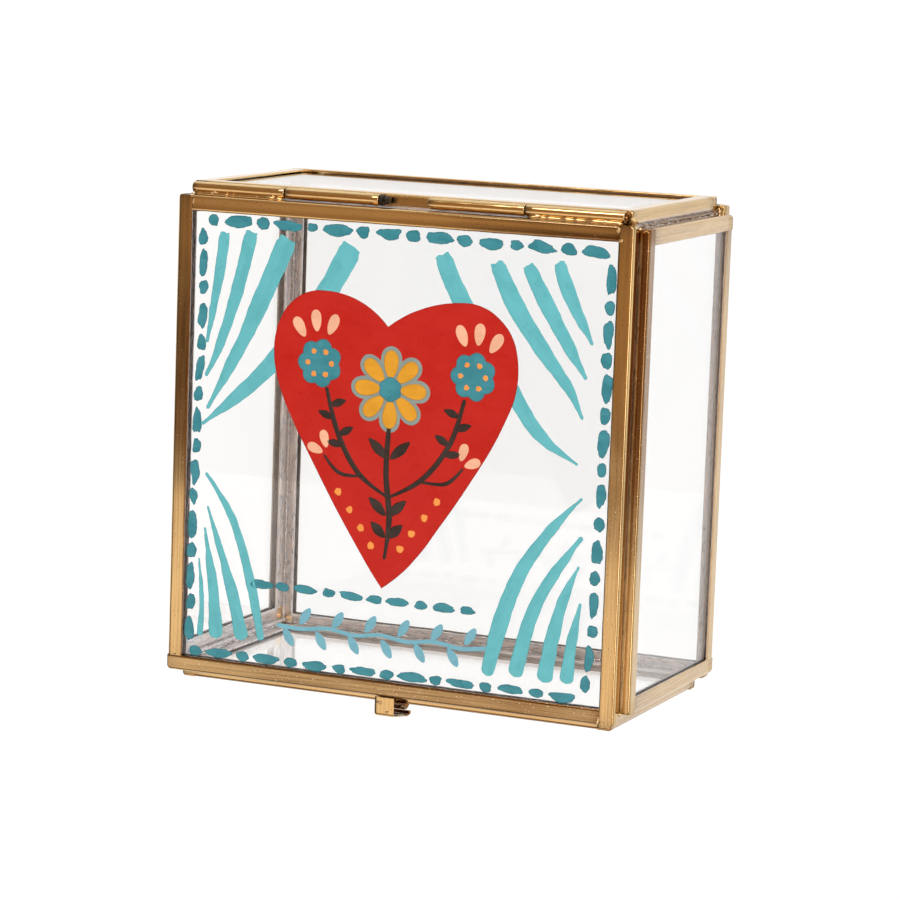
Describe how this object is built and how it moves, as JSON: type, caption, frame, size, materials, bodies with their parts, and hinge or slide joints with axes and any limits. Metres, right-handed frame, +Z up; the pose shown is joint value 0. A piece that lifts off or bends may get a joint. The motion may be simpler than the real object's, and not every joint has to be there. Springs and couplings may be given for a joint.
{
  "type": "hinged glass trinket box",
  "caption": "Square trinket box of clear glass panes edged in brass channel, with a painted glass lid on a rear tube hinge and a hook clasp in front.",
  "frame": {"origin": "on the ground plane under the middle of the whole box, clasp and hinge counted", "axes": "+X to the right along the hinge, +Y towards the hinge at the rear, +Z up out of the painted lid"},
  "size_m": [0.102, 0.1053, 0.0548],
  "materials": {
    "brass": "bright brass with brown lacquer tone, worn paler on the folds, lead-grey solder at the joints",
    "glass": "clear float glass; the lid is painted with opaque enamel",
    "hinge_pin": "dark steel wire"
  },
  "bodies": {
    "box": {"base_channel_right": "brass", "base_channel_left": "brass", "base_channel_rear": "brass", "base_channel_front": "brass", "left_channel_top": "brass", "left_channel_bottom": "brass", "left_channel_front": "brass", "left_channel_rear": "brass", "right_channel_top": "brass", "right_channel_bottom": "brass", "right_channel_front": "brass", "right_channel_rear": "brass", "front_channel_top": "brass", "front_channel_bottom": "brass", "front_channel_left": "brass", "front_channel_right": "brass", "rear_channel_top": "brass", "rear_channel_bottom": "brass", "rear_channel_left": "brass", "rear_channel_right": "brass", "hinge_knuckle_box_left": "brass", "hinge_knuckle_box_right": "brass", "clasp_catch": "brass", "base_glass": "glass", "left_glass": "glass", "right_glass": "glass", "front_glass": "glass", "rear_glass": "glass", "hinge_pin_left": "hinge_pin", "hinge_pin_right": "hinge_pin"},
    "lid": {"lid_channel_right": "brass", "lid_channel_front": "brass", "lid_channel_left": "brass", "lid_channel_rear": "brass", "hinge_knuckle_lid_left": "brass", "hinge_knuckle_lid_right": "brass", "clasp_hook": "brass", "lid_glass": "glass"}
  },
  "joints": [
    {"name": "lid_hinge", "type": "hinge", "parent": "box", "child": "lid", "pos_m": [0, 0.0513, 0.05265], "axis": [-1, 0, 0], "range_deg": [0, 180]}
  ]
}
